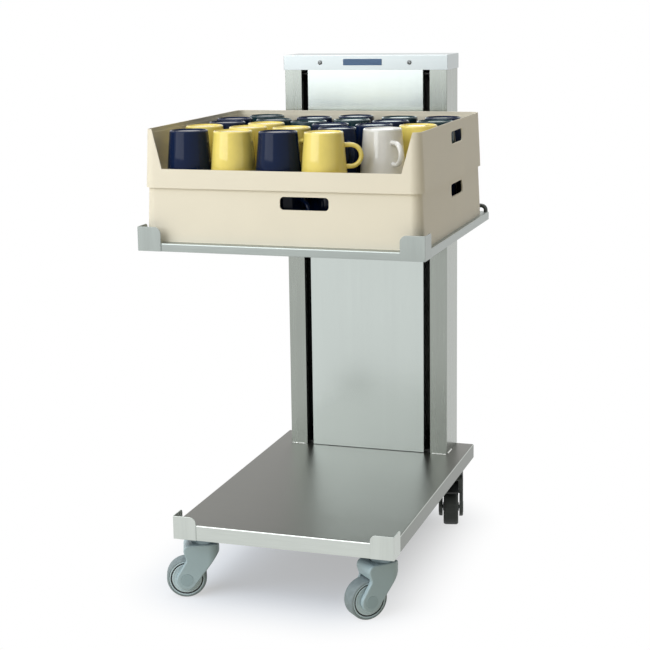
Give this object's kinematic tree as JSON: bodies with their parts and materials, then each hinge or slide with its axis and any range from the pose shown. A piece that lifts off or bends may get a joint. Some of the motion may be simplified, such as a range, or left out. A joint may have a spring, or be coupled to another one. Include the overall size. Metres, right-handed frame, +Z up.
{
  "type": "dish basket dispenser cart",
  "caption": "Wheeled steel cart with a sprung platform that rises on a rear mast, carrying stacked plastic dish baskets of mugs above a low deck.",
  "frame": {"origin": "on the floor, under the middle of the cart", "axes": "+X to the cart's right seen from its open front, +Y towards the mast at the back, +Z up"},
  "size_m": [0.533, 0.6656, 0.985],
  "materials": {
    "tray_steel": "satin brushed stainless",
    "guard_steel": "satin brushed stainless",
    "post_steel": "satin brushed stainless",
    "cover_steel": "fine satin stainless",
    "cap_steel": "satin brushed stainless",
    "hidden_steel": "mill finish",
    "fastener_steel": "bright zinc",
    "spring_steel": "plain spring wire",
    "buffer_rubber": "matt",
    "plate_blue": "satin enamel, blank",
    "rail_dark": "dark coated rod",
    "roller_nylon": "moulded nylon",
    "caster_grey": "moulded, fine grain",
    "hub_grey": "moulded",
    "caster_cap": "moulded",
    "tyre_grey": "grey non-marking rubber",
    "pedal_black": "moulded",
    "basket_ivory": "moulded polypropylene",
    "glaze_navy": "gloss glaze",
    "glaze_yellow": "gloss glaze",
    "glaze_teal": "gloss glaze",
    "glaze_white": "gloss glaze"
  },
  "bodies": {
    "frame": {"base_tray": "tray_steel", "base_guard_left": "guard_steel", "base_guard_right": "guard_steel", "mast_post_left": "post_steel", "mast_post_right": "post_steel", "mast_back_cover": "post_steel", "mast_front_cover": "cover_steel", "mast_top_cap": "cap_steel", "caster_rail_front": "hidden_steel", "caster_rail_rear": "hidden_steel", "mast_foot_plate": "hidden_steel", "guide_rail_left": "hidden_steel", "guide_rail_right": "hidden_steel", "mast_foot_bolts": "fastener_steel", "caster_stems": "fastener_steel", "cover_screws": "fastener_steel", "name_plate": "plate_blue", "spring_anchor_bar": "hidden_steel", "stop_buffers": "buffer_rubber", "extension_springs": "spring_steel"},
    "platform": {"platform_tray": "tray_steel", "platform_guard_left": "guard_steel", "platform_guard_right": "guard_steel", "platform_cross_channels": "hidden_steel", "platform_arm_left": "hidden_steel", "platform_arm_right": "hidden_steel", "platform_arm_bolts": "fastener_steel", "rear_stop_rail": "rail_dark", "carriage_plate": "hidden_steel"},
    "roller_upper_left": {"guide_roller_upper_left": "roller_nylon"},
    "roller_upper_right": {"guide_roller_upper_right": "roller_nylon"},
    "roller_lower_left": {"guide_roller_lower_left": "roller_nylon"},
    "roller_lower_right": {"guide_roller_lower_right": "roller_nylon"},
    "fork_front_left": {"caster_fork_front_left": "caster_grey", "caster_axle_front_left": "caster_cap"},
    "wheel_front_left": {"caster_wheel_front_left": "hub_grey", "caster_tyre_front_left": "tyre_grey"},
    "fork_front_right": {"caster_fork_front_right": "caster_grey", "caster_axle_front_right": "caster_cap"},
    "wheel_front_right": {"caster_wheel_front_right": "hub_grey", "caster_tyre_front_right": "tyre_grey"},
    "fork_rear_left": {"caster_fork_rear_left": "caster_grey", "caster_axle_rear_left": "caster_cap"},
    "wheel_rear_left": {"caster_wheel_rear_left": "hub_grey", "caster_tyre_rear_left": "tyre_grey"},
    "pedal_rear_left": {"brake_pedal_rear_left": "pedal_black"},
    "fork_rear_right": {"caster_fork_rear_right": "caster_grey", "caster_axle_rear_right": "caster_cap"},
    "wheel_rear_right": {"caster_wheel_rear_right": "hub_grey", "caster_tyre_rear_right": "tyre_grey"},
    "pedal_rear_right": {"brake_pedal_rear_right": "pedal_black"},
    "lower_load": {"lower_basket": "basket_ivory", "lower_basket_floor": "basket_ivory", "lower_mugs": "glaze_navy"},
    "upper_load": {"upper_basket": "basket_ivory", "upper_basket_floor": "basket_ivory", "mugs_navy": "glaze_navy", "mugs_yellow": "glaze_yellow", "mugs_teal": "glaze_teal"},
    "white_mug": {"mug_white": "glaze_white"}
  },
  "joints": [
    {"name": "platform_slide", "type": "slide", "parent": "frame", "child": "platform", "axis": [0, 0, 1], "range_m": [-0.385, 0.19], "stiffness_N_per_m": 686, "springref_m": 0.335, "deforming": ["extension_springs"]},
    {"name": "roller_upper_left_spin", "type": "hinge", "parent": "platform", "child": "roller_upper_left", "pos_m": [-0.1597, 0.278, 0.719], "axis": [1, 0, 0], "continuous": true},
    {"name": "roller_upper_right_spin", "type": "hinge", "parent": "platform", "child": "roller_upper_right", "pos_m": [0.1597, 0.278, 0.719], "axis": [1, 0, 0], "continuous": true},
    {"name": "roller_lower_left_spin", "type": "hinge", "parent": "platform", "child": "roller_lower_left", "pos_m": [-0.1597, 0.278, 0.579], "axis": [1, 0, 0], "continuous": true},
    {"name": "roller_lower_right_spin", "type": "hinge", "parent": "platform", "child": "roller_lower_right", "pos_m": [0.1597, 0.278, 0.579], "axis": [1, 0, 0], "continuous": true},
    {"name": "swivel_front_left", "type": "hinge", "parent": "frame", "child": "fork_front_left", "pos_m": [-0.173, -0.275, 0.095], "axis": [0, 0, 1], "continuous": true},
    {"name": "wheel_front_left_spin", "type": "hinge", "parent": "fork_front_left", "child": "wheel_front_left", "pos_m": [-0.20338, -0.28789, 0.0375], "axis": [0.3907, -0.9205, 0], "continuous": true},
    {"name": "swivel_front_right", "type": "hinge", "parent": "frame", "child": "fork_front_right", "pos_m": [0.173, -0.275, 0.095], "axis": [0, 0, 1], "continuous": true},
    {"name": "wheel_front_right_spin", "type": "hinge", "parent": "fork_front_right", "child": "wheel_front_right", "pos_m": [0.14966, -0.29834, 0.0375], "axis": [0.7071, -0.7071, 0], "continuous": true},
    {"name": "swivel_rear_left", "type": "hinge", "parent": "frame", "child": "fork_rear_left", "pos_m": [-0.173, 0.269, 0.095], "axis": [0, 0, 1], "continuous": true},
    {"name": "wheel_rear_left_spin", "type": "hinge", "parent": "fork_rear_left", "child": "wheel_rear_left", "pos_m": [-0.14966, 0.29234, 0.0375], "axis": [-0.7071, 0.7071, 0], "continuous": true},
    {"name": "brake_rear_left", "type": "hinge", "parent": "fork_rear_left", "child": "pedal_rear_left", "pos_m": [-0.15179, 0.29021, 0.087], "axis": [-0.7071, 0.7071, 0], "range_deg": [0, 17]},
    {"name": "swivel_rear_right", "type": "hinge", "parent": "frame", "child": "fork_rear_right", "pos_m": [0.173, 0.269, 0.095], "axis": [0, 0, 1], "continuous": true},
    {"name": "wheel_rear_right_spin", "type": "hinge", "parent": "fork_rear_right", "child": "wheel_rear_right", "pos_m": [0.18042, 0.23685, 0.0375], "axis": [0.9744, 0.225, 0], "continuous": true},
    {"name": "brake_rear_right", "type": "hinge", "parent": "fork_rear_right", "child": "pedal_rear_right", "pos_m": [0.17975, 0.23977, 0.087], "axis": [0.9744, 0.225, 0], "range_deg": [0, 17]},
    {"name": "lower_basket_lift", "type": "slide", "parent": "platform", "child": "lower_load", "axis": [0, 0, 1], "range_m": [0, 0.12]},
    {"name": "upper_basket_lift", "type": "slide", "parent": "lower_load", "child": "upper_load", "axis": [0, 0, 1], "range_m": [0, 0.12]},
    {"name": "white_mug_lift", "type": "slide", "parent": "upper_load", "child": "white_mug", "axis": [0, 0, 1], "range_m": [0, 0.12]}
  ],
  "couplings": [
    {"joint": "roller_upper_left_spin", "follows": "platform_slide", "rad_per_m": 50},
    {"joint": "roller_upper_right_spin", "follows": "platform_slide", "rad_per_m": 50},
    {"joint": "roller_lower_left_spin", "follows": "platform_slide", "rad_per_m": -50},
    {"joint": "roller_lower_right_spin", "follows": "platform_slide", "rad_per_m": -50}
  ]
}
